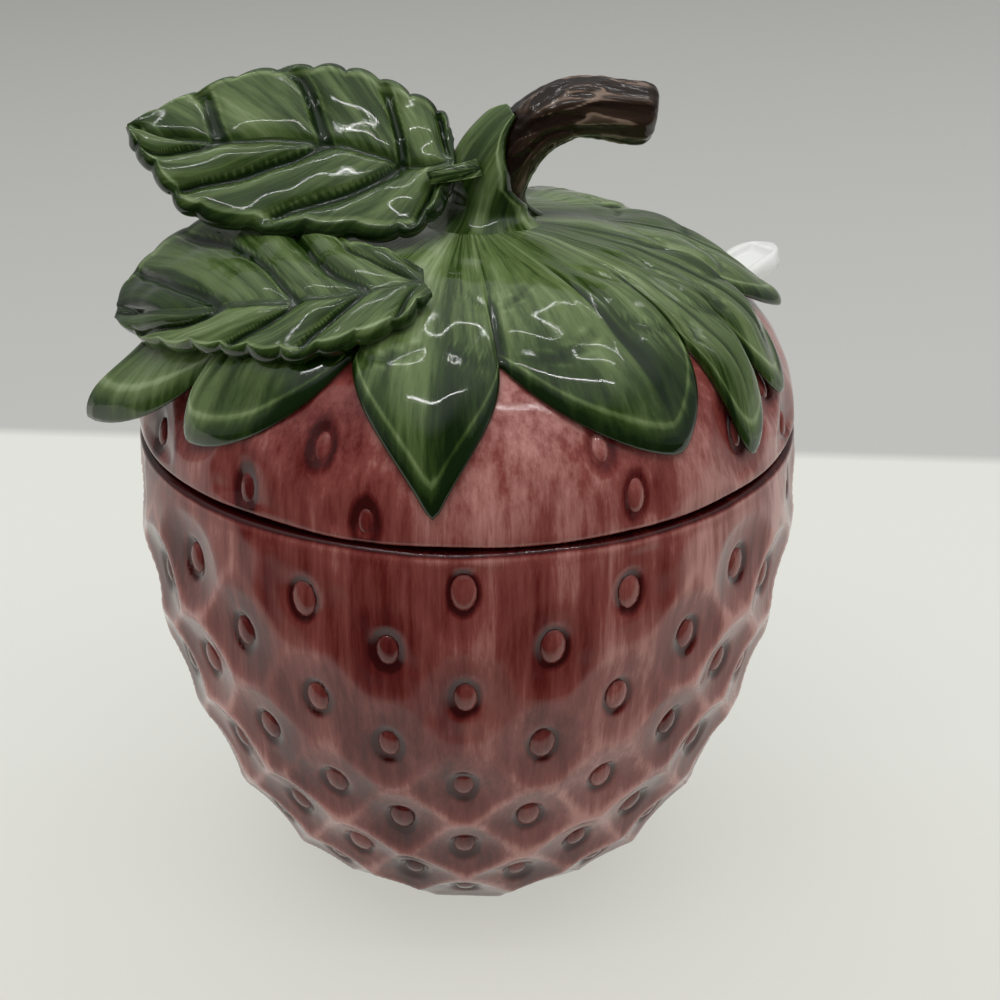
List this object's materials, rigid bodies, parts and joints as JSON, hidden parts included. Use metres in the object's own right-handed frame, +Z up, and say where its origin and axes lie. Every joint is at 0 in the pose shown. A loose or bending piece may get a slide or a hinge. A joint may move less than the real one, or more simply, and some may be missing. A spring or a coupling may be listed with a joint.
{
  "type": "jam pot",
  "caption": "Ceramic jam pot shaped as a strawberry, with a lift-off lid topped by leaves and a stem handle, and a clear spoon through a notch in the lid.",
  "frame": {"origin": "centre of the pot's flat foot, on the surface it stands on", "axes": "+Z up through the pot's middle, -Y towards the front where the longest sepal points, +X towards the cut end of the stem"},
  "size_m": [0.1113, 0.105, 0.1305],
  "materials": {
    "red_glaze": "gloss, brushed mauve red glaze",
    "green_glaze": "gloss, brushed green glaze",
    "brown_glaze": "gloss, dark brown glaze",
    "clear_plastic": "clear moulded plastic"
  },
  "bodies": {
    "pot": {"pot_body": "red_glaze"},
    "lid": {"lid_dome": "red_glaze", "calyx": "green_glaze", "upper_leaf": "green_glaze", "lower_leaf": "green_glaze", "bract": "green_glaze", "stem_sheath": "green_glaze", "stem": "brown_glaze"},
    "spoon": {"spoon": "clear_plastic"}
  },
  "joints": [
    {"name": "lid_lift", "type": "slide", "parent": "pot", "child": "lid", "axis": [0, 0, 1], "range_m": [0, 0.09]},
    {"name": "spoon_draw", "type": "slide", "parent": "pot", "child": "spoon", "axis": [0.5892, 0.4126, 0.6947], "range_m": [0, 0.045]}
  ]
}
